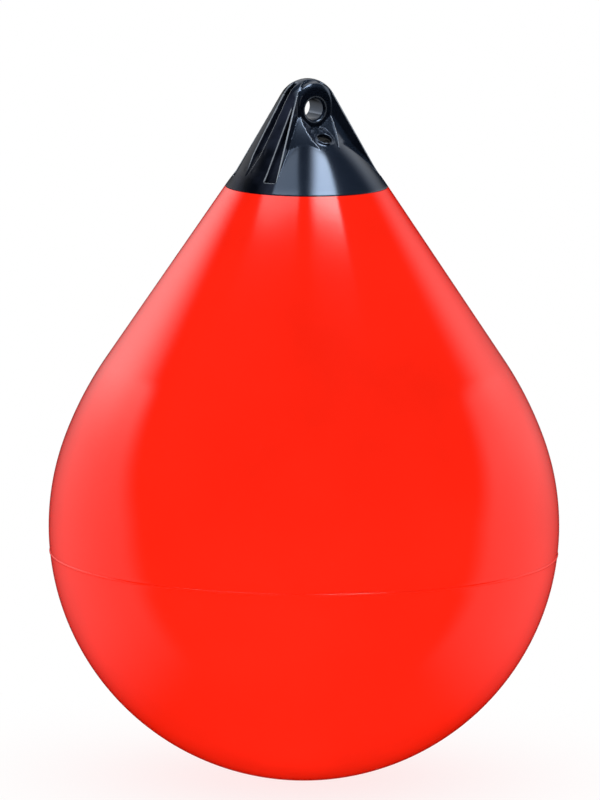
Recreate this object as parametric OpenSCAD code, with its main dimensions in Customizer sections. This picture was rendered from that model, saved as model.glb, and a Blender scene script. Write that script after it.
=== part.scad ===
// Inflatable mooring buoy: a teardrop of soft vinyl with a hard moulded rope hold on its neck.
// Z is the axis of the teardrop and Z = 0 is the waterline of the empty buoy.
// The rope eye runs along Y, and the valve is on the front, at minus Y.

/* [Inflated skin] */
// Diameter of the belly
belly_d = 685; // [450:1:900]
// Latitude on the belly at which the flatter shoulder starts
shoulder_from = 20; // [10:0.5:26]
// How much larger the shoulder arc is than the belly's radius
shoulder_extra = 148; // [60:1:220]
// Half angle of the cone above the shoulder
cone_half_angle = 34; // [30:0.1:40]
// Wall of the vinyl skin
skin_t = 3.2; // [2:0.1:6]
// Height of the mould line below the belly's widest ring
mould_line_drop = 35; // [10:1:90]
// Radius of the mould line's bead
mould_bead_r = 2.2; // [1:0.1:4]
// How far the bead stands out of the skin
mould_bead_h = 0.9; // [0.4:0.1:1.6]
// Depth of the empty buoy in the water
draft = 80; // [40:1:160]

/* [Rope hold] */
// Diameter of the rope hold's lower edge
hold_d = 217.6; // [200:0.2:236]
// Height of the rope hold above its lower edge
hold_h = 144.7; // [138:0.1:152]
// Radius of the arc that its skirt follows
skirt_arc_r = 286; // [240:1:340]
// Half angle of the cone on which the legs' outer edges lie
leg_half_angle = 29.8; // [28:0.1:32]
// Radius of the rounded nose over the legs
nose_r = 39.9; // [37:0.1:42]
// Half angle of each leg's sector, seen from above
leg_spread = 33.2; // [30:0.1:36]
// Half width of the legs where they meet over the axis
leg_root = 1.65; // [0.5:0.05:4]
// Half thickness of the web that joins the legs over the eye
web_half = 8; // [5:0.5:12]
// Length of that web along the legs
web_l = 32; // [20:1:44]
// Wall between the skin's neck and the skirt's outside
skirt_t = 12; // [9:0.5:14]
// Height of the neck inside the rope hold
neck_h = 36; // [24:1:42]
// Bond line between the neck and the rope hold
bond_gap = 0.3; // [0.1:0.05:0.6]

/* [Rope eye] */
// Diameter of the eye's straight bore
eye_d = 29; // [22:0.5:32]
// Depth of the eye's axis below the rope hold's top
eye_drop = 39.7; // [37:0.1:42]
// Height of the eye's lowest line above the trough under it
eye_floor = 10.1; // [7:0.1:14]
// Half thickness of the eye block, face to middle
eye_half = 20.5; // [18:0.5:23]
// Radius of the eye's rounded lip
lip_r = 5; // [3:0.1:6]
// Depth of the lip along the bore
lip_depth = 4.6; // [2.5:0.1:5]
// Half width of the eye block's flat face
block_half = 25; // [23:0.5:27]
// Width of the bevel round the eye block's face
block_bevel = 5; // [3:0.25:7]
// Depth of that bevel
block_bevel_depth = 3; // [1.5:0.25:5]
// Height of the centre of the block's arched top above the eye's axis
arch_rise = 5.5; // [3:0.1:8]
// Radius of the ball that backs the arch
crown_r = 27; // [25:0.5:29]
// How far the ball's top is below the nose's top
crown_drop = 0.6; // [0.3:0.1:2]

/* [Grooves in the legs] */
// Thickness of the rim between a side groove and the leg's face
side_groove_rim = 2; // [1.4:0.1:4]
// Distance from the middle plane at which a side groove starts to open
side_groove_start = 31; // [27:0.5:36]
// Angle of a side groove's inner wall from the leg's middle, seen from above
side_groove_lean = 17; // [12:0.5:22]
// Radius on the skirt at which the side grooves end
side_groove_foot = 98; // [94:0.5:101]
// Depth of the side grooves at their foot
side_groove_depth = 6; // [3:0.5:7]
// Radius of the side grooves' floor at the top
side_groove_top_r = 20; // [17:0.5:24]
// Radius on the skirt at which the middle groove runs out
mid_groove_foot = 97; // [92:0.5:100]
// Radius of the middle groove's floor at the top
mid_groove_top_r = 18; // [16:0.5:24]
// Half width of the middle groove at its widest
mid_groove_half = 8; // [5:0.5:10]
// Half width of the middle groove at the top
mid_groove_top_half = 4.5; // [3:0.25:6]
// Rise of the middle groove from its tip to its full width
mid_groove_rise = 29; // [20:0.5:36]
// Depth below the eye's axis at which the middle groove starts to narrow
mid_groove_narrow = 31.5; // [25:0.5:40]
// Depth below the top at which the grooves' floors reach their top radius
groove_top_drop = 19.7; // [15:0.1:24]

/* [Gussets] */
// Distance of the gussets' upper tips from the middle plane
gusset_tip_x = 24; // [22:0.5:25]
// Depth of the gussets' upper tips below the eye's axis
gusset_tip_drop = 4.3; // [0:0.1:6]
// Distance of the gussets' front toes from the middle plane
gusset_toe_x = 14.5; // [12:0.5:18]
// Distance of the gussets' front toes from the eye's middle
gusset_toe_y = 59.5; // [54:0.5:64]
// Distance of the gussets' side toes from the middle plane
gusset_side_x = 53; // [48:0.5:57]
// How far the gussets' ridges bow out of a straight line
gusset_bow = 4; // [1:0.25:6]
// Depth of the gussets' roots inside the legs
gusset_root = 5; // [3:0.5:8]
// Half width of the trough between two gussets, at the eye block
trough_half = 7; // [5:0.2:9]
// Distance of the trough's corners from the eye block
trough_stand = 0.8; // [0.4:0.1:2]

/* [Inflation valve] */
// Distance of the valve from the eye's middle
valve_y = 44; // [40:0.5:48]
// Angle of the valve's axis from upright
valve_tilt = 30; // [22:1:38]
// Diameter of the valve's mouth
valve_d = 19.6; // [18:0.2:22]
// Width of the rim round the mouth
valve_rim = 2.6; // [1.5:0.1:4]
// Height of the rim above the skirt
valve_rim_h = 1.2; // [0.6:0.1:2]
// Depth of the seat's top face below the mouth
seat_recess = 4; // [2:0.5:7]
// Thickness of the seat's collar
seat_collar_t = 9; // [7:0.5:12]
// Diameter of the seat's tube
seat_tube_d = 15; // [13.5:0.1:16.5]
// How far the tube reaches into the air chamber
seat_reach = 8; // [4:0.5:16]
// Diameter of the air passage
air_d = 7; // [4:0.5:8]
// Diameter of the plug's head
plug_head_d = 14; // [13:0.1:15]
// Thickness of the plug's head
plug_head_t = 3.6; // [2.8:0.1:4]
// Diameter of the plug's shank
plug_shank_d = 10; // [9:0.1:11]
// Length of the plug's shank
plug_shank_l = 15; // [10:0.5:18]
// Chamfer round the plug's head
plug_chamfer = 0.6; // [0.3:0.1:1]
// Width of the coin slot in the head
slot_w = 2.4; // [1.6:0.1:3]
// Depth of the coin slot
slot_depth = 1.8; // [1:0.1:2.2]
// Thickness of the sealing washer
washer_t = 1.2; // [0.8:0.1:1.6]
// Clearance round the seat, the plug and its head
valve_gap = 0.3; // [0.15:0.05:0.4]

/* [Hidden] */
$fn = 96;
// How far a cutter reaches past what it cuts
over = 1;
// How far the gussets' edges run on into the skirt, as a share of their length
gusset_run_on = 1.2;
// Straight pieces along a gusset's ridge
ridge_steps = 5;
// How far one curve of the teardrop's section dips under the next, so that they cross
blend_dip = 0.01;
// How far a curve of the teardrop's section runs on under the next
blend_run = 14;
// Angle that a groove's cutter sweeps from the leg's middle
groove_sweep = 45;

// Teardrop, measured from the middle of the belly
belly_r = belly_d / 2;
belly_z = belly_r - draft;
shoulder_r = belly_r + shoulder_extra;
hold_r = hold_d / 2;
cone_tan = tan(cone_half_angle);
shoulder_mid = -shoulder_extra * [cos(shoulder_from), sin(shoulder_from)];
shoulder_reach = shoulder_r - shoulder_extra * cos(cone_half_angle - shoulder_from);
apex_h = shoulder_reach / sin(cone_half_angle);
ring_h = apex_h - hold_r / cone_tan;
ring_z = belly_z + ring_h;
skin_step = skin_t / cos(cone_half_angle);
skirt_step = skirt_t / cos(cone_half_angle);

// Mould line
bead_mid_r = sqrt(pow(belly_r, 2) - pow(mould_line_drop, 2)) + mould_bead_h - mould_bead_r;

// Rope hold, measured from its lower edge
skirt_mid_r = hold_r - skirt_arc_r * cos(cone_half_angle);
skirt_mid_h = -skirt_arc_r * sin(cone_half_angle);
leg_tan = tan(leg_half_angle);
nose_mid_h = hold_h - nose_r;
nose_edge_r = nose_r * cos(leg_half_angle);
nose_edge_h = nose_mid_h + nose_r * sin(leg_half_angle);
neck_foot_r = hold_r - skirt_step;
neck_top_r = neck_foot_r - neck_h * cone_tan;
bond_step = bond_gap / cos(cone_half_angle);
eye_r = eye_d / 2;
eye_h = hold_h - eye_drop;
arch_h = eye_h + arch_rise;
skirt_top = eye_h - eye_r - eye_floor;
block_root_h = neck_h + bond_gap;
lip_edge_r = eye_r + lip_r - sqrt(pow(lip_r, 2) - pow(lip_depth, 2));

// Grooves, the side ones cut square to the skirt at their foot
groove_top_h = hold_h - groove_top_drop;
side_foot = [side_groove_foot, skirt_height(side_groove_foot)];
side_foot_out = (side_foot - [skirt_mid_r, skirt_mid_h]) / skirt_arc_r;
mid_foot_h = skirt_height(mid_groove_foot);
mid_wide_h = mid_foot_h + mid_groove_rise;
mid_narrow_h = eye_h - mid_groove_narrow;

// Valve, along its own axis from the mouth inward
valve_h = skirt_height(valve_y);
valve_r = valve_d / 2;
seat_top = -seat_recess;
seat_shoulder = seat_top - seat_collar_t;
seat_collar_r = valve_r - valve_gap;
seat_tube_r = seat_tube_d / 2;
tube_hole_r = seat_tube_r + valve_gap;
seat_end = -(valve_h - neck_h + skin_t) / cos(valve_tilt) - seat_tube_r * tan(valve_tilt) - seat_reach;
head_pocket_r = plug_head_d / 2 + valve_gap;
plug_bore_r = plug_shank_d / 2 + valve_gap;
washer_floor = seat_top - plug_head_t - washer_t;
plug_end = washer_floor + washer_t - plug_shank_l;

// Height of the skirt's surface at a radius
function skirt_height(r) =
    min(skirt_top, skirt_mid_h + sqrt(pow(skirt_arc_r, 2) - pow(r - skirt_mid_r, 2)));

// Radius of the teardrop's cone at a height, for a skin inset
function cone_r(h, inset) = (apex_h - h) * cone_tan - inset / cos(cone_half_angle);

// Half section of the teardrop, inset into the skin and cut level at a height
module teardrop_section(inset, top) {
    round_r = shoulder_r - inset - blend_dip;
    start_h = (belly_r - inset) * sin(shoulder_from);
    meet = shoulder_mid + (round_r - blend_dip) * [cos(cone_half_angle), sin(cone_half_angle)];
    intersection() {
        circle(belly_r - inset);
        translate([0, -belly_d]) square([belly_d, belly_d + start_h + blend_run]);
    }
    intersection() {
        translate(shoulder_mid) circle(round_r);
        translate([0, start_h]) square([belly_d, meet[1] - start_h + blend_run]);
    }
    polygon([[0, meet[1]], meet, [cone_r(top, inset), top], [0, top]]);
}

// Places a child on the valve's axis, with the mouth at its zero
module on_valve_axis() {
    translate([0, -valve_y, ring_z + valve_h]) rotate([valve_tilt, 0, 0]) children();
}

// A round post on the valve's axis from one depth to another
module valve_post(r, from, to) {
    on_valve_axis() translate([0, 0, from]) cylinder(r = r, h = to - from);
}

// Soft vinyl teardrop, hollow, with its mould line and a stepped neck for the rope hold
module inflated_skin() {
    color([0.92, 0.11, 0.06])
    difference() {
        translate([0, 0, belly_z])
        rotate_extrude()
        difference() {
            union() {
                teardrop_section(0, ring_h);
                translate([bead_mid_r, -mould_line_drop]) circle(mould_bead_r);
                polygon([
                    [0, ring_h - over],
                    [neck_foot_r + over * cone_tan, ring_h - over],
                    [neck_top_r, ring_h + neck_h],
                    [0, ring_h + neck_h]
                ]);
            }
            teardrop_section(skin_t, ring_h - skin_t);
            polygon([
                [0, ring_h - skin_t - over],
                [neck_foot_r + (skin_t + over) * cone_tan - skin_step, ring_h - skin_t - over],
                [neck_top_r + skin_t * cone_tan - skin_step, ring_h + neck_h - skin_t],
                [0, ring_h + neck_h - skin_t]
            ]);
        }
        valve_post(tube_hole_r, seat_end, 0);
    }
}

// Half section of the skirt, an arc that leaves the teardrop's cone without a step
module skirt_section() {
    intersection() {
        translate([skirt_mid_r, skirt_mid_h]) circle(skirt_arc_r);
        square([hold_r, skirt_top]);
    }
}

// Half section of the cone and nose that hold the outer edges of both legs
module envelope_section() {
    intersection() {
        translate([0, nose_mid_h]) circle(nose_r);
        translate([0, nose_edge_h]) square([nose_r, nose_r]);
    }
    polygon([
        [0, over], [nose_edge_r + (nose_edge_h - over) * leg_tan, over],
        [nose_edge_r, nose_edge_h], [0, nose_edge_h]
    ]);
}

// Both legs and the web over the eye, seen from above
module leg_plan() {
    far = hold_r * tan(leg_spread) + leg_root;
    for (side = [-1, 1])
        polygon([
            [0, -leg_root], [side * hold_r, -far],
            [side * hold_r, far], [0, leg_root]
        ]);
    square([web_l, 2 * web_half], center = true);
}

// Block round the eye: a bevelled plate with an arched top, backed by a ball
module eye_block() {
    foot = block_half + block_bevel;
    inner = eye_half - block_bevel_depth;
    translate([0, 0, block_root_h])
    linear_extrude(height = arch_h - block_root_h)
    polygon([
        [-foot, -inner], [-block_half, -eye_half], [block_half, -eye_half], [foot, -inner],
        [foot, inner], [block_half, eye_half], [-block_half, eye_half], [-foot, inner]
    ]);
    translate([0, 0, arch_h])
    rotate([90, 0, 0])
    rotate_extrude()
    polygon([
        [0, -eye_half], [block_half, -eye_half], [foot, -inner],
        [foot, inner], [block_half, eye_half], [0, eye_half]
    ]);
    intersection() {
        translate([0, 0, hold_h - crown_drop - crown_r]) sphere(crown_r);
        translate([0, 0, hold_h - crown_r]) cube(2 * [crown_r, eye_half, crown_r], center = true);
    }
}

// One gusset: a sloping facet on the outside, a bowed ridge and a scooped trough wall on the inside
module gusset() {
    tip_y = leg_root + gusset_tip_x * tan(leg_spread);
    side_y = gusset_side_x * tan(leg_spread);
    tip = [gusset_tip_x, -tip_y, eye_h - gusset_tip_drop];
    side_toe = [gusset_side_x, -side_y, skirt_height(norm([gusset_side_x, side_y]))];
    toe = [gusset_toe_x, -gusset_toe_y, skirt_height(norm([gusset_toe_x, gusset_toe_y]))];
    trough = [trough_half, -eye_half - trough_stand, skirt_top];
    core = [gusset_tip_x - gusset_root, -web_half, block_root_h];
    along = toe - tip;
    aside = (side_toe - tip) - along * ((side_toe - tip) * along) / (along * along);
    bow = 4 * gusset_bow * aside / norm(aside);
    ridge = [
        for (i = [0:ridge_steps])
            let (t = gusset_run_on * i / ridge_steps) tip + t * along + max(t * (1 - t), 0) * bow
    ];
    side_i = ridge_steps + 1;
    trough_i = ridge_steps + 2;
    core_i = ridge_steps + 3;
    polyhedron(
        points = concat(ridge, [
            tip + gusset_run_on * (side_toe - tip), tip + gusset_run_on * (trough - tip), core
        ]),
        faces = concat(
            [concat([0, side_i], [for (i = [ridge_steps:-1:1]) i])],
            [for (i = [0:ridge_steps - 1]) [i, i + 1, trough_i]],
            [
                [0, trough_i, core_i], [0, core_i, side_i],
                [trough_i, ridge_steps, side_i], [core_i, trough_i, side_i]
            ]
        )
    );
}

// Cutter for the eye: a straight bore with a rounded lip at both ends
module eye_bore() {
    straight = eye_half - lip_depth;
    translate([0, 0, eye_h])
    rotate([90, 0, 0])
    rotate_extrude() {
        translate([0, -straight]) square([eye_r, 2 * straight]);
        for (end = [0, 1])
            mirror([0, end])
            difference() {
                translate([0, straight]) square([lip_edge_r, lip_depth + over]);
                translate([eye_r + lip_r, straight]) circle(lip_r);
            }
    }
}

// Cutter for one side groove, a wedge seen from above that leaves a rim along the leg's face
module side_groove() {
    rim_y = leg_root - side_groove_rim / cos(leg_spread);
    start_y = rim_y + side_groove_start * tan(leg_spread);
    intersection() {
        rotate_extrude(angle = groove_sweep)
        polygon([
            side_foot - side_groove_depth * side_foot_out, side_foot + skirt_t * side_foot_out,
            [hold_r, hold_h], [side_groove_top_r, hold_h], [side_groove_top_r, groove_top_h]
        ]);
        linear_extrude(height = hold_h + over)
        polygon([
            [side_groove_start, start_y],
            [hold_r, start_y + (hold_r - side_groove_start) * tan(side_groove_lean)],
            [hold_r, rim_y + hold_r * tan(leg_spread)]
        ]);
    }
}

// Cutter for the middle groove, a spear that runs out on the skirt
module mid_groove() {
    intersection() {
        rotate([0, 0, -groove_sweep])
        rotate_extrude(angle = 2 * groove_sweep)
        polygon([
            [mid_groove_foot, mid_foot_h], [hold_r, mid_foot_h],
            [hold_r, hold_h], [mid_groove_top_r, hold_h], [mid_groove_top_r, groove_top_h]
        ]);
        rotate([90, 0, 90])
        linear_extrude(height = hold_r)
        polygon([
            [0, mid_foot_h], [mid_groove_half, mid_wide_h], [mid_groove_half, mid_narrow_h],
            [mid_groove_top_half, hold_h], [-mid_groove_top_half, hold_h],
            [-mid_groove_half, mid_narrow_h], [-mid_groove_half, mid_wide_h]
        ]);
    }
}

// Hard moulded cap with the rope eye
module rope_hold() {
    color([0.06, 0.08, 0.14])
    difference() {
        translate([0, 0, ring_z])
        difference() {
            union() {
                rotate_extrude() skirt_section();
                intersection() {
                    rotate_extrude() envelope_section();
                    linear_extrude(height = hold_h + over) leg_plan();
                }
                eye_block();
                for (side = [0, 1], face = [0, 1])
                    mirror([side, 0, 0]) mirror([0, face, 0]) gusset();
                translate([0, 0, -ring_z])
                valve_post(valve_r + valve_rim, seat_shoulder, valve_rim_h);
            }
            rotate_extrude()
            polygon([
                [0, -over],
                [neck_foot_r + bond_step + over * cone_tan, -over],
                [neck_top_r + bond_step - bond_gap * cone_tan, neck_h + bond_gap],
                [0, neck_h + bond_gap]
            ]);
            eye_bore();
            for (side = [0, 1])
                mirror([side, 0, 0]) {
                    mid_groove();
                    for (face = [0, 1]) mirror([0, face, 0]) side_groove();
                }
        }
        valve_post(valve_r, seat_shoulder, valve_rim_h + over);
        valve_post(tube_hole_r, seat_end, seat_shoulder + over);
    }
}

// Bush of the inflation valve: a collar in the rope hold and a tube into the air chamber
module valve_seat() {
    color([0.1, 0.1, 0.11])
    difference() {
        union() {
            valve_post(seat_collar_r, seat_shoulder, seat_top);
            valve_post(seat_tube_r, seat_end, seat_shoulder + over);
        }
        valve_post(head_pocket_r, washer_floor, seat_top + over);
        valve_post(plug_bore_r, plug_end - valve_gap, washer_floor + over);
        valve_post(air_d / 2, seat_end - over, plug_end);
    }
}

// Screw plug with a coin slot
module valve_plug() {
    color([0.16, 0.17, 0.2])
    difference() {
        union() {
            valve_post(plug_head_d / 2, washer_floor + washer_t, seat_top - plug_chamfer);
            on_valve_axis()
            translate([0, 0, seat_top - plug_chamfer])
            cylinder(r1 = plug_head_d / 2, r2 = plug_head_d / 2 - plug_chamfer, h = plug_chamfer);
            valve_post(plug_shank_d / 2, plug_end, washer_floor + washer_t + over);
        }
        on_valve_axis()
        translate([0, 0, seat_top])
        cube([plug_head_d + over, slot_w, 2 * slot_depth], center = true);
    }
}

// Sealing washer under the plug's head
module valve_washer() {
    color([0.05, 0.05, 0.05])
    difference() {
        valve_post(plug_head_d / 2, washer_floor, washer_floor + washer_t);
        valve_post(plug_bore_r, washer_floor - over, washer_floor + washer_t + over);
    }
}

inflated_skin();
rope_hold();
valve_seat();
valve_plug();
valve_washer();
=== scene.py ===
import math

import bmesh
import bpy
from mathutils import Matrix, Vector


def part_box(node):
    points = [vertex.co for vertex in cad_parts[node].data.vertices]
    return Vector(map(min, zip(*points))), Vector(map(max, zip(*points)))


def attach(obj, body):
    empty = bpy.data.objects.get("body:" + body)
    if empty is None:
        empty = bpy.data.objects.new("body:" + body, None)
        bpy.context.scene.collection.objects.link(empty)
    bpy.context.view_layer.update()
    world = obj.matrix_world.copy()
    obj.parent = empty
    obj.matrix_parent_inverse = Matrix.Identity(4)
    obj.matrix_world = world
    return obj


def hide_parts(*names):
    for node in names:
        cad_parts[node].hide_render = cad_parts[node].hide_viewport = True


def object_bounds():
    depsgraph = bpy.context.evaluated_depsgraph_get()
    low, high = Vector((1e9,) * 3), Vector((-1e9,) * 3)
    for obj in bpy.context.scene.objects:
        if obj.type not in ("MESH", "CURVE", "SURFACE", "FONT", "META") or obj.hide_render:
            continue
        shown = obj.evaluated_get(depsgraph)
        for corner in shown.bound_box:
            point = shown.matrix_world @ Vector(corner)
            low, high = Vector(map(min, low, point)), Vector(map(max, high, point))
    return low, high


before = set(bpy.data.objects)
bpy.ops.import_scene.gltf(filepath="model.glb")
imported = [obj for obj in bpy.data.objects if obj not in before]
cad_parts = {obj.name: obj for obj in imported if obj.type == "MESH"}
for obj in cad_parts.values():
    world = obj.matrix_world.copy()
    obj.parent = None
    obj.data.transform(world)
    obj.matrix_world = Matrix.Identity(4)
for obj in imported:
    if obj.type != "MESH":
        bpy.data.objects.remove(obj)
CAD_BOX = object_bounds()
SKIN_LOW, SKIN_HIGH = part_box("inflated_skin")
HOLD_LOW, HOLD_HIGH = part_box("rope_hold")

bl_info = {
    "name": "Inflatable mooring buoy",
    "version": (1, 0, 0),
    "blender": (4, 5, 0),
    "location": "3D View > Sidebar > Buoy",
    "description": "Dresses a teardrop mooring buoy and sets it in a white studio",
    "category": "Add Mesh",
}

MM = 0.001
FULL_TURN = 2 * math.pi
NO_DIVISION_BY_ZERO = 0.0001
WHITE = (1, 1, 1, 1)
SHARP_ANGLE = math.radians(35)
MERGE_DISTANCE = 1e-6

# Points along the runs of the skin's half section and round its full turn
BELLY_STEPS, BEAD_STEPS, FLANK_STEPS, SHOULDER_STEPS = 60, 8, 34, 30
CONE_STEPS, LEDGE_STEPS, NECK_STEPS, BEAD_SIDE_STEPS = 16, 3, 4, 2
TURN_STEPS = 288

# Places on the rope hold, from the middle of its lower ring
HOLD_RING = Vector((0, 0, HOLD_LOW.z))
VALVE_MOUTH = Vector((0, -44, 66.7)) * MM
GUSSET_TIP = Vector((24, 17.36, 100.7)) * MM
GUSSET_SIDE = Vector((53, 34.68, 52.36)) * MM
GUSSET_TOE = Vector((14.5, 59.5, 54.24)) * MM

# Extra smoothing round the valve's mouth and on the crown
MOUTH_REACH, MOUTH_PASSES = 16 * MM, 10
CROWN_DEPTH, CROWN_PASSES = 20 * MM, 8
SMOOTH_FACTOR = 0.5

# How near a point lies to a gusset's facet that it belongs to, and the width of a leg's soft edge
FACET_REACH = 0.25 * MM
LEG_EDGE = 4 * MM

# Gloss of the vinyls
SKIN_IOR, HOLD_IOR, LEG_IOR = 1.38, 1.72, 1.12
HOLD_GLOSS, LEG_GLOSS = (0.55, 0.72, 1.0), (0.6, 0.75, 1.0)
SCUFF_COLOUR = (0.98, 0.11, 0.075)

# Painted highlights on the rope hold's sharp edges and painted shade in its hollows, by how sharp
# the surface is, with 0.5 for flat.
# The painted edge highlights stay faint round the valve's mouth and are left out along the lower
# ring.
EDGE_HIGHLIGHT_SHARPNESS, HOLLOW_SHADE_SHARPNESS = (0.508, 0.545), (0.42, 0.49)
PLAIN_MOUTH, PLAIN_RING = (14 * MM, 20 * MM), (HOLD_LOW.z + 2 * MM, HOLD_LOW.z + 6 * MM)
MOUTH_HIGHLIGHT_SHARE, HOLLOW_SHADE_DUST_SHARE = 0.12, 0.25

# Where the legs' dull finish starts, and the painted shade in the grooves by how much sky they see
LEG_FROM, FAN_EDGE = (22 * MM, 32 * MM), (-3 * MM, 3 * MM)
GROOVE_SHADE_REACH, GROOVE_SHADE_SKY, GROOVE_SHADE_SHARE = 12 * MM, (0.30, 0.70), 0.85

# Camera
SENSOR_WIDTH, FAR_CLIP = 36, 100

# Lit fields of the overhead lamp, in softbox heights to the right of and in front of the rope hold.
# A pair of numbers is the soft edge of a field, or the power before and after a step.
LAMP_WIDE, LAMP_DEEP = 2.2, 1.6
LAMP_LEFT, LAMP_FRONT = -1.3, 1.3
RIGHT_FIELD_FROM, RIGHT_FIELD_TO, RIGHT_FIELD_SLANT = (0.02, 0.30), (0.26, 0.37), 0.63
LEFT_FIELD_FROM, LEFT_FIELD_TO = (-1.09, -0.98), (-0.22, -0.16)
FIELD_BACK, FIELD_SQUASH = (0.08, 0.20), 0.8
FADE_FROM, FADE_RATE = 0.909, 60
POWER_STEP = (0.8, 0.9)
LEFT_POWER, RIGHT_POWER = (1.8, 4.6), (9.8, 15.0)

# Glow of the studio's side walls and backdrop, by the direction in which a reflection looks
WALL_GLOW, WALL_GAIN = 0.95, 1.9
WALL_FRONT, WALL_SLANT = (-0.05, 0.24), 0.42
WALL_TOP, WALL_FOOT = (0.66, 0.79), (-1.5, -0.4)
WALL_SIDES, RIGHT_WALL_DROP = (-0.1, 0.1), 0.06
UPPER_WALL, UPPER_GAIN = (0.3, 0.65), (0.45, -0.3)
WALL_FALL, WALL_FALL_EASE = 0.9, 0.5
BACKDROP_GLOW, BACKDROP_FOOT, BACKDROP_SIDES = 0.8, (0.25, 0.6), (-0.62, -0.22)

# Floor, the light it sends up to the buoy and the shadow the camera sees on it
FLOOR_R, FLOOR_SEGMENTS, FLOOR_GREY = 14, 96, 0.9
FLOOR_GLOW, SHADOW_REACH, SHADOW_SHARE = 1.3, (0.15, 0.7), 0.2


class SkinSettings(bpy.types.PropertyGroup):
    """Sizes and finish of the soft vinyl teardrop"""

    belly_r: bpy.props.FloatProperty(
        name="Belly radius",
        description="Radius of the round lower body",
        default=SKIN_HIGH.x,
        unit="LENGTH",
    )
    shoulder_from: bpy.props.FloatProperty(
        name="Shoulder start",
        description="Latitude on the belly where the flatter shoulder begins",
        default=math.radians(20),
        subtype="ANGLE",
    )
    shoulder_extra: bpy.props.FloatProperty(
        name="Shoulder extra",
        description="How much larger the shoulder arc is than the belly",
        default=148 * MM,
        unit="LENGTH",
    )
    cone_half_angle: bpy.props.FloatProperty(
        name="Cone half angle",
        description="Half angle of the cone above the shoulder",
        default=math.radians(34),
        subtype="ANGLE",
    )
    seam_drop: bpy.props.FloatProperty(
        name="Mould line drop",
        description="Height of the mould line below the widest ring",
        default=35 * MM,
        unit="LENGTH",
    )
    seam_r: bpy.props.FloatProperty(
        name="Mould line radius",
        description="Radius of the bead along the mould line",
        default=2.2 * MM,
        unit="LENGTH",
    )
    seam_h: bpy.props.FloatProperty(
        name="Mould line height",
        description="How far the bead stands out of the skin",
        default=0.9 * MM,
        unit="LENGTH",
    )
    neck_foot_r: bpy.props.FloatProperty(
        name="Neck radius",
        description="Radius of the neck where it leaves the shoulder under the rope hold",
        default=94.33 * MM,
        unit="LENGTH",
    )
    colour: bpy.props.FloatVectorProperty(
        name="Vinyl colour",
        description="Colour of the pigmented vinyl",
        default=(0.96, 0.0150, 0.0038),
        subtype="COLOR",
        size=3,
        min=0,
        max=1,
    )


class HoldSettings(bpy.types.PropertyGroup):
    """Finish of the hard moulded rope hold"""

    colour: bpy.props.FloatVectorProperty(
        name="Hold colour",
        description="Colour of the hard vinyl",
        default=(0.0012, 0.0020, 0.0042),
        subtype="COLOR",
        size=3,
        min=0,
        max=1,
    )
    # Painted light: the lighter colour of the rope hold's upward faces, as if lit from the overhead
    # softboxes
    top_lit_colour: bpy.props.FloatVectorProperty(
        name="Bleached colour",
        description="Colour of the hard vinyl where the sun falls on it",
        default=(0.0095, 0.0150, 0.0270),
        subtype="COLOR",
        size=3,
        min=0,
        max=1,
    )
    dull: bpy.props.FloatVectorProperty(
        name="Dull colour",
        description="Colour of the duller legs",
        default=(0.0140, 0.0178, 0.0320),
        subtype="COLOR",
        size=3,
        min=0,
        max=1,
    )
    # Painted highlight: the pale colour laid on the rope hold's sharp edges, where light catches
    # them
    pale_marks: bpy.props.FloatVectorProperty(
        name="Worn edge colour",
        description="Colour of the edges where the vinyl is rubbed pale",
        default=(0.26, 0.29, 0.33),
        subtype="COLOR",
        size=3,
        min=0,
        max=1,
    )
    leg_spread: bpy.props.FloatProperty(
        name="Leg spread",
        description="Half angle of a leg's fan, seen from above",
        default=math.radians(33.2),
        subtype="ANGLE",
    )
    foot_blend: bpy.props.FloatProperty(
        name="Foot blend",
        description="How deep the legs' feet flow into the skirt",
        default=2.5 * MM,
        unit="LENGTH",
    )
    facet_sink: bpy.props.FloatProperty(
        name="Gusset hollow",
        description="How far the gussets' facets sink towards the legs",
        default=1.1 * MM,
        unit="LENGTH",
    )
    grid: bpy.props.FloatProperty(
        name="Edge grid",
        description="Grid on which the moulded edges are rounded",
        default=0.9 * MM,
        unit="LENGTH",
    )
    rounding: bpy.props.IntProperty(
        name="Edge rounding",
        description="Smoothing passes over the moulded edges",
        default=3,
        min=0,
    )
    kept_share: bpy.props.FloatProperty(
        name="Kept share",
        description="Share of the rounded faces that is kept where the surface is plain",
        default=0.37,
        min=0,
        max=1,
        subtype="FACTOR",
    )
    facet_depth: bpy.props.FloatProperty(
        name="Facet depth",
        description="How far a point may lie off a round face and still belong to it",
        default=0.2 * MM,
        unit="LENGTH",
    )
    skirt_arc_r: bpy.props.FloatProperty(
        name="Skirt arc radius",
        description="Radius of the arc of the skirt's section",
        default=286 * MM,
        unit="LENGTH",
    )
    leg_half_angle: bpy.props.FloatProperty(
        name="Leg half angle",
        description="Half angle of the cone that the legs' outer faces lie on",
        default=math.radians(29.8),
        subtype="ANGLE",
    )
    nose_r: bpy.props.FloatProperty(
        name="Nose radius",
        description="Radius of the round top",
        default=39.9 * MM,
        unit="LENGTH",
    )


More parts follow.
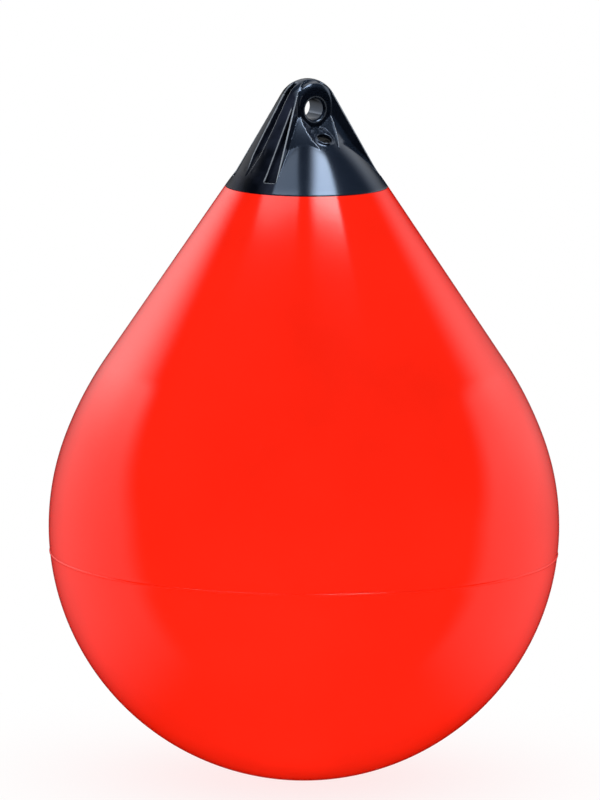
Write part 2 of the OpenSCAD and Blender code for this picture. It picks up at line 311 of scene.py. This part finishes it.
class StageSettings(bpy.types.PropertyGroup):
    """Camera, lamps and floor of the studio"""

    azimuth: bpy.props.FloatProperty(
        name="View azimuth",
        description="Turn of the camera round the buoy, zero at the valve's side",
        default=math.radians(-32),
        subtype="ANGLE",
    )
    elevation: bpy.props.FloatProperty(
        name="View elevation",
        description="Height angle of the camera above the aim point",
        default=math.radians(8.9),
        subtype="ANGLE",
    )
    distance: bpy.props.FloatProperty(
        name="Camera distance",
        description="Distance from the camera to the aim point",
        default=12.0,
        unit="LENGTH",
    )
    picture_h: bpy.props.FloatProperty(
        name="Picture height",
        description="Height of the picture at the aim point",
        default=1.0712,
        unit="LENGTH",
    )
    aim_z: bpy.props.FloatProperty(
        name="Aim height",
        description="Height of the picture's middle on the buoy's axis",
        default=0.4325,
        unit="LENGTH",
    )
    aim_side: bpy.props.FloatProperty(
        name="Aim offset",
        description="Offset of the picture's middle to the right of the axis",
        default=-0.0066,
        unit="LENGTH",
    )
    fill: bpy.props.FloatProperty(
        name="Fill light",
        description="Strength of the even light from all round",
        default=1.12,
        min=0,
    )
    box_h: bpy.props.FloatProperty(
        name="Softbox height",
        description="Height of the two overhead softboxes above the rope hold",
        default=1.1,
        unit="LENGTH",
    )
    roll: bpy.props.FloatProperty(
        name="Camera roll",
        description="Turn of the camera round its line of sight",
        default=math.radians(0.45),
        subtype="ANGLE",
    )


class Socket:
    """One output of a shader node, with the arithmetic that adds Math nodes"""

    def __init__(self, shader, out):
        self.shader = shader
        self.out = out

    def _math(self, operation, first, second):
        return self.shader.node("Math", {"operation": operation}, {0: first, 1: second})

    def __add__(self, other):
        return self._math("ADD", self, other)

    __radd__ = __add__

    def __sub__(self, other):
        return self._math("SUBTRACT", self, other)

    def __rsub__(self, other):
        return self._math("SUBTRACT", other, self)

    def __mul__(self, other):
        return self._math("MULTIPLY", self, other)

    __rmul__ = __mul__

    def __truediv__(self, other):
        return self._math("DIVIDE", self, other)

    def __pow__(self, other):
        return self._math("POWER", self, other)

    def __rpow__(self, other):
        return self._math("POWER", other, self)


class Shader:
    """The node tree of one material, lamp or world"""

    def __init__(self, owner):
        owner.use_nodes = True
        self.tree = owner.node_tree
        self.tree.nodes.clear()

    def node(self, kind, settings=None, inputs=None, output=0):
        """Adds a node, sets it, feeds its sockets and returns one of its outputs"""
        made = self.tree.nodes.new("ShaderNode" + kind)
        for name, value in (settings or {}).items():
            setattr(made, name, value)
        for name, value in (inputs or {}).items():
            if isinstance(value, Socket):
                self.tree.links.new(value.out, made.inputs[name])
            else:
                made.inputs[name].default_value = value
        return Socket(self, made.outputs[output])

    def span(self, value, low, high, to_low=0.0, to_high=1.0):
        """Maps a value smoothly from one span to another"""
        return self.node(
            "MapRange",
            {"interpolation_type": "SMOOTHSTEP"},
            {
                "Value": value,
                "From Min": low,
                "From Max": high,
                "To Min": to_low,
                "To Max": to_high,
            },
        )

    def noise(self, place, scale, detail=3.0, roughness=0.5):
        """Soft noise over the object's own coordinates, from 0 to 1"""
        return self.node(
            "TexNoise",
            {},
            {"Vector": place, "Scale": scale, "Detail": detail, "Roughness": roughness},
        )

    def tint(self, factor, first, second):
        """Mixes two colours by a factor"""
        return self.node(
            "Mix", {"data_type": "RGBA"}, {"Factor": factor, 6: first, 7: second}, output=2
        )

    def vector(self, operation, first, second=None, output="Value"):
        """One step of vector arithmetic"""
        inputs = {0: first} if second is None else {0: first, 1: second}
        return self.node("VectorMath", {"operation": operation}, inputs, output)

    def split(self, vector):
        """The X, Y and Z of a vector"""
        parts = self.node("SeparateXYZ", {}, {0: vector}).out.node.outputs
        return [Socket(self, part) for part in parts]

    def positive(self, value):
        """A value where it is above zero, and zero elsewhere"""
        return self.node("Math", {"operation": "MAXIMUM"}, {0: value, 1: 0.0})

    def mixed(self, factor, first, second):
        """Mixes two surfaces by a factor"""
        return self.node("MixShader", {}, {0: factor, 1: first, 2: second})

    def place(self):
        """The object's own coordinates"""
        return self.node("TexCoord", output="Object")

    def close(self, surface, target="Material"):
        """Feeds the tree's output"""
        end = self.tree.nodes.new("ShaderNodeOutput" + target)
        self.tree.links.new(surface.out, end.inputs["Surface"])


def rgba(colour):
    """A colour with full alpha"""
    return (*colour, 1.0)


def skin_vinyl(settings):
    """Glossy pigmented vinyl with a faint orange peel, clouds of wear and hairline scuffs"""
    material = bpy.data.materials.new("skin_vinyl")
    s = Shader(material)
    place = s.place()
    clouds = s.noise(place, scale=5.5, detail=4.0)
    peel = s.noise(place, scale=160.0, detail=2.0)
    swell = s.noise(place, scale=18.0, detail=2.0)
    stretched = s.node("Mapping", {}, {"Vector": place, "Scale": (1.0, 1.0, 0.12)})
    scuffs = s.span(s.noise(stretched, scale=90.0, detail=6.0, roughness=0.7), 0.66, 0.78)
    deep = rgba(tuple(c * 0.90 for c in settings.colour))
    base = s.tint(s.span(clouds, 0.3, 0.7), deep, rgba(settings.colour))
    pale_marks = s.tint(scuffs * 0.05, base, rgba(SCUFF_COLOUR))
    relief = peel * 0.7 + swell * 0.3
    bump = s.node("Bump", {}, {"Strength": 0.05, "Distance": 0.0006, "Height": relief})
    rough = 0.07 + clouds * 0.04 + scuffs * 0.10
    s.close(
        s.node(
            "BsdfPrincipled",
            {},
            {"Base Color": pale_marks, "Roughness": rough, "IOR": SKIN_IOR, "Normal": bump},
        )
    )
    return material


def hold_vinyl(settings):
    """Hard dark vinyl, glossy on the skirt and eye block and duller on the legs

    It has painted light on its upward faces, painted highlights on its sharp edges and painted
    shade in the legs' hollows and in the grooves.
    """
    material = bpy.data.materials.new("hold_vinyl")
    s = Shader(material)
    place = s.place()
    clouds = s.noise(place, scale=22.0, detail=4.0)
    grain = s.noise(place, scale=900.0, detail=2.0)
    # Painted light: upward faces are tinted lighter, as if lit from above, varied a little by noise
    level = s.split(s.node("NewGeometry", output="Normal"))[2]
    painted_top_light = s.span(level, -0.1, 0.55) * (0.8 + clouds * 0.4)
    base = s.tint(painted_top_light, rgba(settings.colour), rgba(settings.top_lit_colour))
    point = s.node("NewGeometry", output="Pointiness")
    from_mouth = s.vector("DISTANCE", place, HOLD_RING + VALVE_MOUTH)
    # Painted highlight: sharp convex edges are tinted pale, faint round the valve's mouth and none
    # along the lower ring
    edges = (
        s.span(point, *EDGE_HIGHLIGHT_SHARPNESS)
        * s.span(from_mouth, *PLAIN_MOUTH, MOUTH_HIGHLIGHT_SHARE, 1.0)
        * s.span(s.split(place)[2], *PLAIN_RING)
    )
    # Dust in clouds of noise, held back in the hollows so that they stay darker, which is painted
    # shade
    dust_and_hollow_shade = s.span(clouds, 0.3, 0.7) * s.span(point, *HOLLOW_SHADE_SHARPNESS, HOLLOW_SHADE_DUST_SHARE, 1.0)
    bump = s.node("Bump", {}, {"Strength": 0.06, "Distance": 0.0003, "Height": grain})
    glossy = s.node(
        "BsdfPrincipled",
        {},
        {
            "Base Color": s.tint(edges, base, rgba(settings.pale_marks)),
            "Roughness": 0.12 + clouds * 0.06,
            "IOR": HOLD_IOR,
            "Specular Tint": rgba(HOLD_GLOSS),
            "Normal": bump,
        },
    )
    dusty_shaded_colour = s.tint(dust_and_hollow_shade, rgba(settings.colour), rgba(settings.dull))
    dull = s.node(
        "BsdfPrincipled",
        {},
        {
            "Base Color": s.tint(edges, dusty_shaded_colour, rgba(settings.pale_marks)),
            "Roughness": 0.18 + clouds * 0.10,
            "IOR": LEG_IOR,
            "Specular Tint": rgba(LEG_GLOSS),
            "Normal": bump,
        },
    )
    x, y, _ = s.split(s.vector("ABSOLUTE", place, output="Vector"))
    fan = s.span(x * math.tan(settings.leg_spread) - y, *FAN_EDGE)
    legs = fan * s.span(x, *LEG_FROM)
    # Painted shade: where the surface sees little open sky, it turns to a dark plain diffuse
    open_sky = s.node("AmbientOcclusion", {"samples": 8}, {"Distance": GROOVE_SHADE_REACH}, output="AO")
    groove_shade = s.node("BsdfDiffuse", {}, {"Color": rgba(settings.colour)})
    groove_shade_mask = s.span(open_sky, *GROOVE_SHADE_SKY, GROOVE_SHADE_SHARE, 0.0)
    s.close(s.mixed(groove_shade_mask, s.mixed(legs, glossy, dull), groove_shade))
    return material


def dull_plastic(name, colour, roughness):
    """Plain moulded plastic or rubber with a mottled surface"""
    material = bpy.data.materials.new(name)
    s = Shader(material)
    mottle = s.noise(s.place(), scale=220.0)
    dark, light = ([c * share for c in colour] for share in (0.7, 1.3))
    base = s.tint(mottle, rgba(dark), rgba(light))
    bump = s.node("Bump", {}, {"Strength": 0.15, "Distance": 0.0002, "Height": mottle})
    s.close(
        s.node(
            "BsdfPrincipled",
            {},
            {"Base Color": base, "Roughness": roughness - 0.05 + mottle * 0.1, "Normal": bump},
        )
    )
    return material


def link(name, data):
    """Makes an object of a mesh, a lamp or a camera and puts it in the scene"""
    made = bpy.data.objects.new(name, data)
    bpy.context.scene.collection.objects.link(made)
    return made


def mesh_piece(name, bm, material, sharp=SHARP_ANGLE):
    """Turns a bmesh into a smooth-shaded piece with sharp edges kept"""
    mesh = bpy.data.meshes.new(name)
    bmesh.ops.remove_doubles(bm, verts=bm.verts, dist=MERGE_DISTANCE)
    bmesh.ops.recalc_face_normals(bm, faces=bm.faces)
    bm.to_mesh(mesh)
    bm.free()
    mesh.shade_smooth()
    mesh.set_sharp_from_angle(angle=sharp)
    mesh.materials.append(material)
    return link(name, mesh)


def finished(context, piece):
    """A bmesh of a piece with its modifiers applied"""
    bm = bmesh.new()
    bm.from_object(piece, context.evaluated_depsgraph_get())
    return bm


class Profile:
    """A half section that grows vertex by vertex in the XZ plane"""

    def __init__(self, bm, x, z):
        self.bm = bm
        self.end = bm.verts.new((x, 0, z))

    def line(self, x, z, steps=1):
        """Runs straight to a point"""
        step = (Vector((x, 0, z)) - self.end.co) / steps
        for _ in range(steps):
            grown = bmesh.ops.extrude_vert_indiv(self.bm, verts=[self.end])
            self.end = grown["verts"][0]
            self.end.co += step

    def arc(self, x, z, angle, steps):
        """Swings round a centre, upward and inward for a positive angle"""
        swung = bmesh.ops.spin(
            self.bm, geom=[self.end], cent=(x, 0, z), axis=(0, -1, 0), angle=angle, steps=steps
        )
        self.end = [v for v in swung["geom_last"] if isinstance(v, bmesh.types.BMVert)][0]


def turn(bm, steps):
    """Spins everything in the bmesh a full turn round Z"""
    bmesh.ops.spin(
        bm,
        geom=bm.verts[:] + bm.edges[:],
        cent=(0, 0, 0),
        axis=(0, 0, 1),
        angle=FULL_TURN,
        steps=steps,
        use_merge=True,
    )


class BUOY_OT_skin(bpy.types.Operator):
    """Models the inflated skin with its mould line and neck"""

    bl_idname = "buoy.skin"
    bl_label = "Inflated skin"

    def execute(self, context):
        s = context.scene.buoy_skin
        mid_z = SKIN_LOW.z + s.belly_r
        ring_z = HOLD_LOW.z
        seam_z = mid_z - s.seam_drop
        seam_ring = math.sqrt(s.belly_r**2 - s.seam_drop**2)
        bead_x = seam_ring + s.seam_h - s.seam_r
        reach = 2 * s.seam_r / s.belly_r
        fall = math.asin(s.seam_drop / s.belly_r)
        bm = bmesh.new()
        half = Profile(bm, 0, SKIN_LOW.z)
        half.arc(0, mid_z, math.pi / 2 - fall - reach, BELLY_STEPS)
        tilt = math.acos((s.seam_r - s.seam_h) / s.seam_r)
        bead_low = bead_x + s.seam_r * math.cos(tilt), seam_z - s.seam_r * math.sin(tilt)
        half.line(*bead_low, BEAD_SIDE_STEPS)
        half.arc(bead_x, seam_z, 2 * tilt, BEAD_STEPS)
        after = fall - reach
        belly_again = s.belly_r * math.cos(after), mid_z - s.belly_r * math.sin(after)
        half.line(*belly_again, BEAD_SIDE_STEPS)
        half.arc(0, mid_z, after + s.shoulder_from, FLANK_STEPS)
        half.arc(
            -s.shoulder_extra * math.cos(s.shoulder_from),
            mid_z - s.shoulder_extra * math.sin(s.shoulder_from),
            s.cone_half_angle - s.shoulder_from,
            SHOULDER_STEPS,
        )
        half.line(HOLD_HIGH.x, ring_z, CONE_STEPS)
        half.line(s.neck_foot_r, ring_z, LEDGE_STEPS)
        neck_top_r = s.neck_foot_r - (SKIN_HIGH.z - ring_z) * math.tan(s.cone_half_angle)
        half.line(neck_top_r, SKIN_HIGH.z, NECK_STEPS)
        half.line(0, SKIN_HIGH.z, NECK_STEPS)
        turn(bm, TURN_STEPS)
        piece = mesh_piece("skin", bm, skin_vinyl(s))
        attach(piece, "buoy")
        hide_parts("inflated_skin")
        return {"FINISHED"}


class BUOY_OT_hold(bpy.types.Operator):
    """Models the rope hold with its moulded edges rounded"""

    bl_idname = "buoy.hold"
    bl_label = "Rope hold"

    def execute(self, context):
        s = context.scene.buoy_hold
        material = hold_vinyl(s)
        bm = bmesh.new()
        bm.from_mesh(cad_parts["rope_hold"].data)
        sharp = mesh_piece("hold_sharp", bm, material)
        grid = link("hold_grid", sharp.data.copy())
        cells = grid.modifiers.new("cells", "REMESH")
        cells.mode = "VOXEL"
        cells.voxel_size = s.grid
        grid.modifiers.new("wrap", "SHRINKWRAP").target = sharp
        bm = finished(context, grid)
        self.true_up(bm, s, context.scene.buoy_skin.cone_half_angle)
        self.hollow_gussets(bm, s)
        self.round_off(bm.verts, bm, s.rounding)
        mouth = HOLD_RING + VALVE_MOUTH
        by_mouth = [v for v in bm.verts if (v.co - mouth).length < MOUTH_REACH]
        self.round_off(by_mouth, bm, MOUTH_PASSES)
        crown = [v for v in bm.verts if v.co.z > HOLD_HIGH.z - CROWN_DEPTH]
        self.round_off(crown, bm, CROWN_PASSES)
        soft = mesh_piece("hold_soft", bm, material, sharp=math.pi)
        soft.modifiers.new("thin", "DECIMATE").ratio = s.kept_share
        piece = mesh_piece("hold", finished(context, soft), material, sharp=math.pi)
        for spare in (sharp, grid, soft):
            bpy.data.objects.remove(spare)
        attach(piece, "buoy")
        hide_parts("rope_hold")
        return {"FINISHED"}

    def round_off(self, verts, bm, passes):
        """Smooths some of the points"""
        for _ in range(passes):
            bmesh.ops.smooth_vert(
                bm,
                verts=verts,
                factor=SMOOTH_FACTOR,
                use_axis_x=True,
                use_axis_y=True,
                use_axis_z=True,
            )

    def true_up(self, bm, s, cone_half_angle):
        """Draws points onto the round faces they lie close to

        The legs' feet flow into the skirt.
        """
        arc_r = HOLD_HIGH.x - s.skirt_arc_r * math.cos(cone_half_angle)
        arc_z = HOLD_LOW.z - s.skirt_arc_r * math.sin(cone_half_angle)
        nose_z = HOLD_HIGH.z - s.nose_r
        flank = Vector((math.cos(s.leg_half_angle), math.sin(s.leg_half_angle)))
        for v in bm.verts:
            r = math.hypot(v.co.x, v.co.y)
            if r < MM:
                continue
            skirt_r = arc_r + math.sqrt(max(s.skirt_arc_r**2 - (v.co.z - arc_z) ** 2, 0))
            leg_r = (s.nose_r - (v.co.z - nose_z) * flank.y) / flank.x
            out = Vector((r, v.co.z - nose_z))
            if out.y > out.length * flank.y:
                leg_r = math.sqrt(max(s.nose_r**2 - out.y**2, 0))
            near = min((skirt_r, leg_r), key=lambda round_r: abs(round_r - r))
            if abs(near - r) > s.facet_depth:
                continue
            inside = abs(v.co.x) * math.tan(s.leg_spread) - abs(v.co.y)
            share = min(max(inside / LEG_EDGE, 0), 1)
            overlap = max(s.foot_blend - abs(leg_r - skirt_r), 0)
            swell = overlap**2 / (4 * s.foot_blend) * share
            grow = (near + swell) / r
            v.co.x *= grow
            v.co.y *= grow

    def hollow_gussets(self, bm, s):
        """Sinks the four gussets' facets a little towards the legs"""
        to_side = GUSSET_SIDE - GUSSET_TIP
        to_toe = GUSSET_TOE - GUSSET_TIP
        out = to_toe.cross(to_side).normalized()
        side_share = to_toe.cross(out) / to_side.dot(to_toe.cross(out))
        toe_share = out.cross(to_side) / to_toe.dot(out.cross(to_side))
        for v in bm.verts:
            off = Vector((abs(v.co.x), abs(v.co.y), v.co.z)) - HOLD_RING - GUSSET_TIP
            b, c = off.dot(side_share), off.dot(toe_share)
            if abs(off.dot(out)) < FACET_REACH and min(b, c, 1 - b - c) > 0:
                sink = out * (4 * s.facet_sink * (1 - b - c) * b)
                sink.x = math.copysign(sink.x, v.co.x * sink.x)
                sink.y = math.copysign(sink.y, v.co.y * sink.y)
                v.co -= sink


class BUOY_OT_valve(bpy.types.Operator):
    """Finishes the valve's seat, plug and washer"""

    bl_idname = "buoy.valve"
    bl_label = "Inflation valve"

    def execute(self, context):
        finishes = {
            "valve_seat": dull_plastic("valve_plastic", (0.003, 0.0033, 0.004), 0.55),
            "valve_plug": dull_plastic("plug_plastic", (0.005, 0.0055, 0.007), 0.5),
            "valve_washer": dull_plastic("washer_rubber", (0.008, 0.008, 0.008), 0.7),
        }
        for name, material in finishes.items():
            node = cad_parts[name]
            node.data.materials.clear()
            node.data.materials.append(material)
        return {"FINISHED"}


def gloss_lamp(name, size, power):
    """A rectangular studio lamp that shows in reflections alone"""
    data = bpy.data.lights.new(name, "AREA")
    data.shape = "RECTANGLE"
    data.size, data.size_y = size
    data.energy = power
    made = link(name, data)
    made.visible_camera = False
    made.visible_diffuse = False
    return made


class BUOY_OT_stage(bpy.types.Operator):
    """Sets the camera, the lamp, the world and the floor"""

    bl_idname = "buoy.stage"
    bl_label = "Stage"

    def execute(self, context):
        s = context.scene.buoy_stage
        context.scene.view_settings.view_transform = "Standard"
        back = Vector(
            (
                math.sin(s.azimuth) * math.cos(s.elevation),
                -math.cos(s.azimuth) * math.cos(s.elevation),
                math.sin(s.elevation),
            )
        )
        right = Vector((math.cos(s.azimuth), math.sin(s.azimuth), 0))
        up = back.cross(right)
        context.scene.camera = self.camera(s, right, back)
        self.overhead(s.box_h, right, up, back)
        context.scene.world = self.studio(s.fill, right, up, back)
        self.floor()
        return {"FINISHED"}

    def camera(self, s, right, back):
        """A camera with a long lens, on the valve's side"""
        data = bpy.data.cameras.new("camera")
        data.sensor_width = SENSOR_WIDTH
        data.lens = data.sensor_width * s.distance / s.picture_h
        data.clip_end = FAR_CLIP
        camera = link("camera", data)
        aim = Vector((0, 0, s.aim_z)) + right * s.aim_side
        camera.location = aim + back * s.distance
        look = (-back).to_track_quat("-Z", "Y").to_matrix().to_4x4()
        camera.rotation_euler = (look @ Matrix.Rotation(s.roll, 4, "Z")).to_euler()
        return camera

    def overhead(self, box_h, right, up, back):
        """A lamp above the rope hold with two lit fields, which fade towards the front"""
        wide, deep = LAMP_WIDE * box_h, LAMP_DEEP * box_h
        overhead = gloss_lamp("overhead", (wide, deep), math.pi * wide * deep)
        mid_x, mid_z = LAMP_LEFT + LAMP_WIDE / 2, LAMP_FRONT - LAMP_DEEP / 2
        middle = HOLD_RING + (right * mid_x + up + back * mid_z) * box_h
        facing = Matrix((right, -back, up)).transposed().to_4x4()
        overhead.matrix_world = Matrix.Translation(middle) @ facing
        o = Shader(overhead.data)
        u, v, _ = o.split(o.node("NewGeometry", output="Parametric"))
        across = u * LAMP_WIDE + LAMP_LEFT
        depth = LAMP_FRONT - v * LAMP_DEEP
        right_end = across - depth * RIGHT_FIELD_SLANT
        right_field = o.span(across, *RIGHT_FIELD_FROM) * o.span(right_end, *RIGHT_FIELD_TO, 1, 0)
        left_field = o.span(across, *LEFT_FIELD_FROM) * o.span(across, *LEFT_FIELD_TO, 1, 0)
        reach = ((across * FIELD_SQUASH) ** 2 + depth**2) ** 0.5
        fade = math.exp(-FADE_RATE) ** o.positive(reach - FADE_FROM)
        power = right_field * o.span(reach, *POWER_STEP, *RIGHT_POWER)
        power = power + left_field * o.span(reach, *POWER_STEP, *LEFT_POWER)
        strength = power * fade * o.span(depth, *FIELD_BACK)
        o.close(o.node("Emission", {}, {"Strength": strength}), "Light")

    def studio(self, fill, right, up, back):
        """A white room: an even fill, and side walls and a backdrop that show in reflections"""
        world = bpy.data.worlds.new("studio")
        world.cycles.sampling_method = "NONE"
        w = Shader(world)
        camera_ray = w.node("LightPath", output="Is Camera Ray")
        glossy_ray = w.node("LightPath", output="Is Glossy Ray")
        direction = w.node("TexCoord", output="Generated")
        sideways, height, toward = (
            w.vector("DOT_PRODUCT", direction, axis) for axis in (right, up, back)
        )
        across = w.node("Math", {"operation": "ABSOLUTE"}, {0: sideways}) + NO_DIVISION_BY_ZERO
        rise, depth = height / across, toward / across
        above = w.positive(rise)
        lower = w.span(sideways, *WALL_SIDES, 0, RIGHT_WALL_DROP)
        front = w.span(depth + above * WALL_SLANT + lower, *WALL_FRONT, 1, 0)
        top = w.span(rise + lower, *WALL_TOP, 1, 0)
        upper = 1 + w.span(sideways, *WALL_SIDES, *UPPER_GAIN) * w.span(rise, *UPPER_WALL)
        fall = 1 + (depth * (WALL_FALL - above * WALL_FALL_EASE)) ** 2
        walls = WALL_GLOW * WALL_GAIN**rise * front * top * upper * w.span(rise, *WALL_FOOT) / fall
        backdrop = w.span(height, *BACKDROP_FOOT) * w.span(toward, *BACKDROP_SIDES, 1, 0)
        mirrored = walls + backdrop * BACKDROP_GLOW
        level = fill * (1 - glossy_ray) + mirrored * glossy_ray
        strength = level * (1 - camera_ray) + camera_ray
        w.close(w.node("Background", {}, {"Color": WHITE, "Strength": strength}), "World")
        return world

    def floor(self):
        """A white floor at the buoy's lowest point, with a soft shadow"""
        bm = bmesh.new()
        bmesh.ops.create_circle(bm, cap_ends=True, segments=FLOOR_SEGMENTS, radius=FLOOR_R)
        bmesh.ops.translate(bm, verts=bm.verts, vec=(0, 0, CAD_BOX[0].z))
        material = bpy.data.materials.new("floor")
        f = Shader(material)
        seen = f.node("LightPath", output="Is Camera Ray")
        shadow = f.span(f.vector("LENGTH", f.place()), *SHADOW_REACH, SHADOW_SHARE, 0)
        paint = f.node("BsdfDiffuse", {}, {"Color": rgba([FLOOR_GREY] * 3)})
        strength = FLOOR_GLOW - seen * (FLOOR_GLOW - 1)
        glow = f.node("Emission", {}, {"Color": WHITE, "Strength": strength})
        f.close(f.mixed(seen * shadow, glow, paint))
        floor = mesh_piece("floor", bm, material)
        floor.visible_glossy = False
        return floor


class BUOY_PT_panel(bpy.types.Panel):
    """Lists the buoy's pieces and their settings"""

    bl_label = "Mooring buoy"
    bl_idname = "BUOY_PT_panel"
    bl_space_type = "VIEW_3D"
    bl_region_type = "UI"
    bl_category = "Buoy"

    def draw(self, context):
        for operator in OPERATORS:
            self.layout.operator(operator.bl_idname)
        for name in SETTINGS:
            group = getattr(context.scene, name)
            for key in group.__annotations__:
                self.layout.prop(group, key)


SETTINGS = {"buoy_skin": SkinSettings, "buoy_hold": HoldSettings, "buoy_stage": StageSettings}
OPERATORS = (BUOY_OT_skin, BUOY_OT_hold, BUOY_OT_valve, BUOY_OT_stage)
CLASSES = (*SETTINGS.values(), *OPERATORS, BUOY_PT_panel)


def register():
    for cls in CLASSES:
        bpy.utils.register_class(cls)
    for name, group in SETTINGS.items():
        setattr(bpy.types.Scene, name, bpy.props.PointerProperty(type=group))


def unregister():
    for name in SETTINGS:
        delattr(bpy.types.Scene, name)
    for cls in reversed(CLASSES):
        bpy.utils.unregister_class(cls)


def main():
    register()
    bpy.ops.buoy.skin()
    bpy.ops.buoy.hold()
    bpy.ops.buoy.valve()
    bpy.ops.buoy.stage()


if __name__ == "__main__":
    main()
